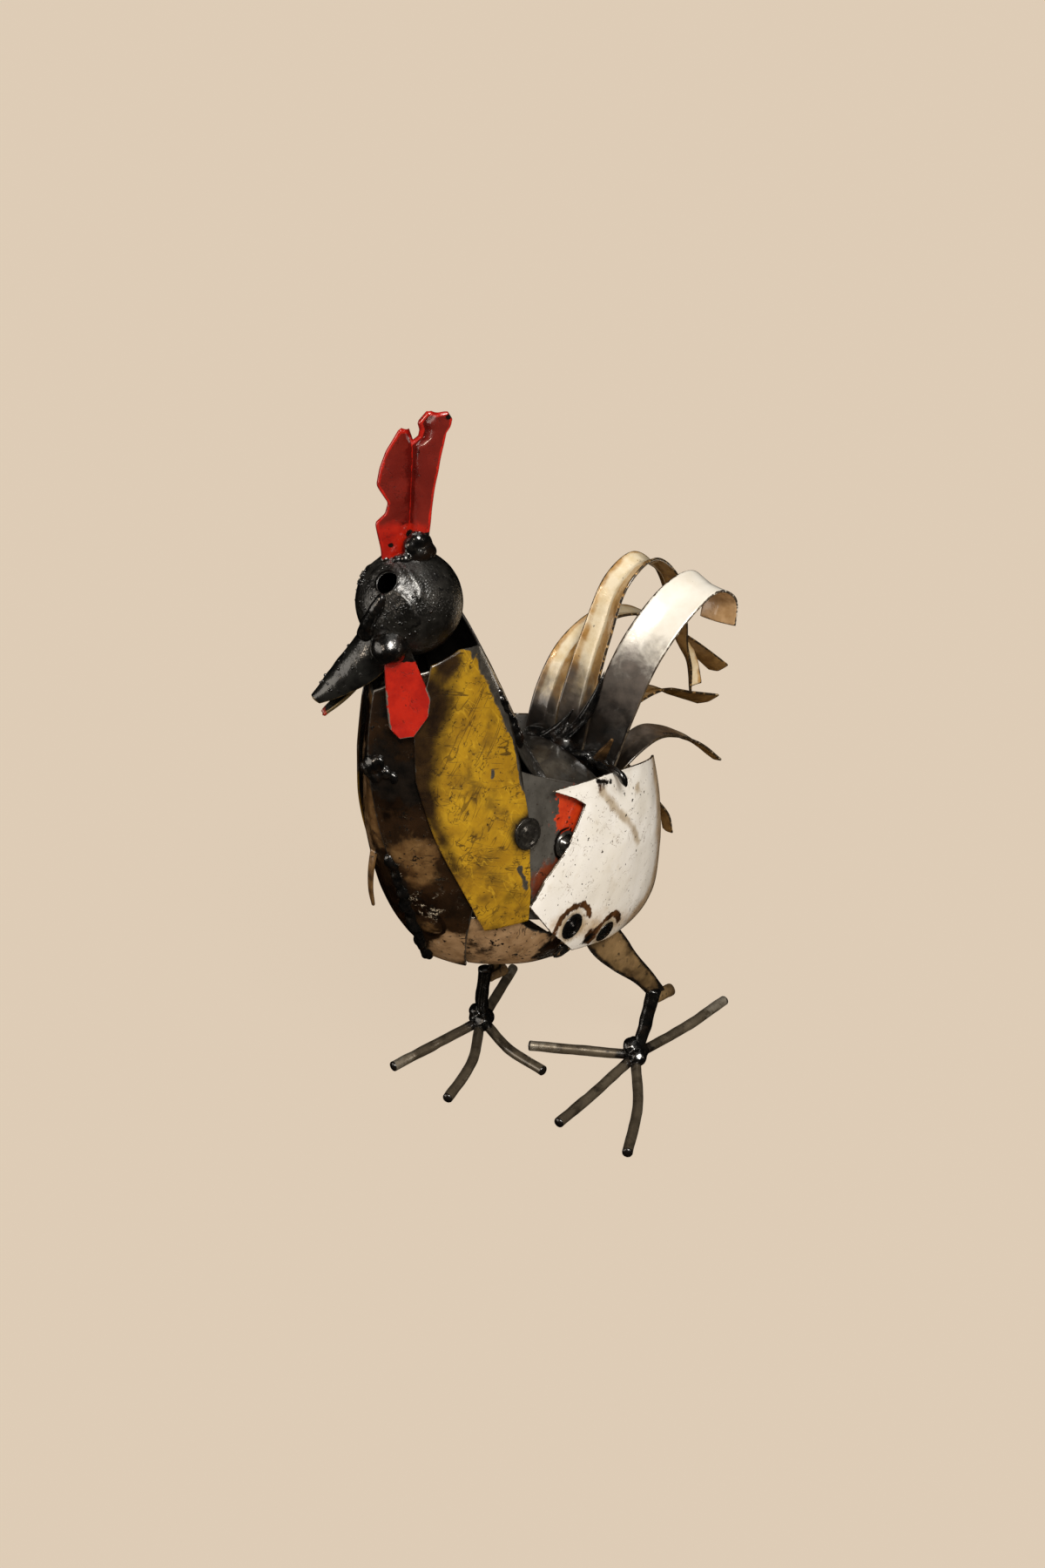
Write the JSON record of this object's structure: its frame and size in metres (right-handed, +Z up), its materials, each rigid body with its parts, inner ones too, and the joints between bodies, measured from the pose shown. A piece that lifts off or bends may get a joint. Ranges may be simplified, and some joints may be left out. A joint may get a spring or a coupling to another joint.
{
  "type": "metal rooster sculpture",
  "caption": "Welded scrap-metal rooster with a ball head, painted sheet plates for the body, curled sheet tail feathers and round-bar feet.",
  "frame": {"origin": "middle of the bounding box, on the ground that the feet stand on", "axes": "+Z up, the rooster looks along -Y, its left side is +X"},
  "size_m": [0.141, 0.2496, 0.3524],
  "materials": {
    "black_lacquer": "gloss",
    "red_enamel": "gloss",
    "yellow_enamel": "gloss, worn",
    "white_enamel": "gloss, chipped",
    "orange_enamel": "gloss, mostly worn off",
    "burnt_steel": "clear lacquer over heat-blackened steel",
    "bare_steel": "clear lacquer over bare steel",
    "feather_steel": "clear lacquer, sooty at the weld"
  },
  "bodies": {
    "root": {"head_ball": "black_lacquer", "upper_beak": "black_lacquer", "lower_beak": "black_lacquer", "comb": "red_enamel", "comb_weld": "black_lacquer", "cheek_knob_left": "black_lacquer", "cheek_knob_right": "black_lacquer", "wattle_left": "red_enamel", "wattle_right": "red_enamel", "breast_plate_left": "burnt_steel", "breast_plate_right": "burnt_steel", "neck_plate_left": "yellow_enamel", "neck_plate_right": "yellow_enamel", "neck_back_plate": "bare_steel", "flank_plate_left": "orange_enamel", "flank_plate_right": "orange_enamel", "rump_plate_left": "white_enamel", "rump_plate_right": "white_enamel", "rear_plate": "bare_steel", "back_plate": "bare_steel", "belly_plate": "burnt_steel", "tail_feather_1": "feather_steel", "tail_feather_2": "feather_steel", "tail_feather_3": "white_enamel", "tail_feather_4": "feather_steel", "tail_feather_5": "feather_steel", "tail_feather_6": "feather_steel", "tail_weld": "black_lacquer", "thigh_left": "burnt_steel", "thigh_right": "burnt_steel", "shank_left": "black_lacquer", "shank_right": "black_lacquer", "spur_left": "bare_steel", "spur_right": "bare_steel", "foot_knot_left": "black_lacquer", "foot_knot_right": "black_lacquer", "toe_left_1": "bare_steel", "toe_left_2": "bare_steel", "toe_left_3": "bare_steel", "toe_left_4": "bare_steel", "toe_right_1": "bare_steel", "toe_right_2": "bare_steel", "toe_right_3": "bare_steel", "toe_right_4": "bare_steel"}
  },
  "joints": []
}
